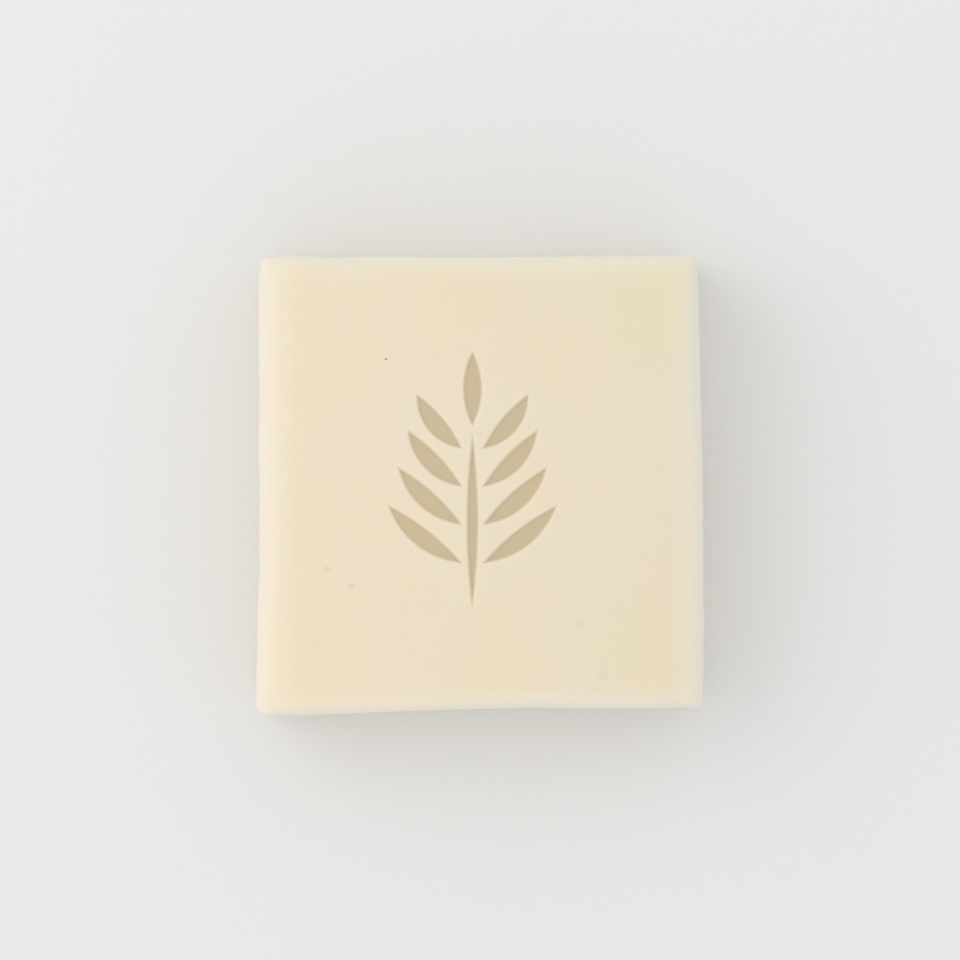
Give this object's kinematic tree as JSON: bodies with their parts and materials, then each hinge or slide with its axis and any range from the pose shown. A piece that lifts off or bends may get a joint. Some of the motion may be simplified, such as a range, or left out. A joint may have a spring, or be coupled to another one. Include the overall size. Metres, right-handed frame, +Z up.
{
  "type": "bar of soap",
  "caption": "Square hand-cut bar of cream soap with softly worn edges and a leaf sprig pressed into its upper face.",
  "frame": {"origin": "middle of the underside of the bar's box, on the surface it lies on", "axes": "+Z up out of the stamped face, +Y along the longer way of the bar towards its back, +X to the right"},
  "size_m": [0.0752, 0.0774, 0.025],
  "materials": {
    "soap": "smooth cream soap, softly waxy, with tan tint in the pressed sprig"
  },
  "bodies": {
    "root": {"soap_bar": "soap"}
  },
  "joints": []
}
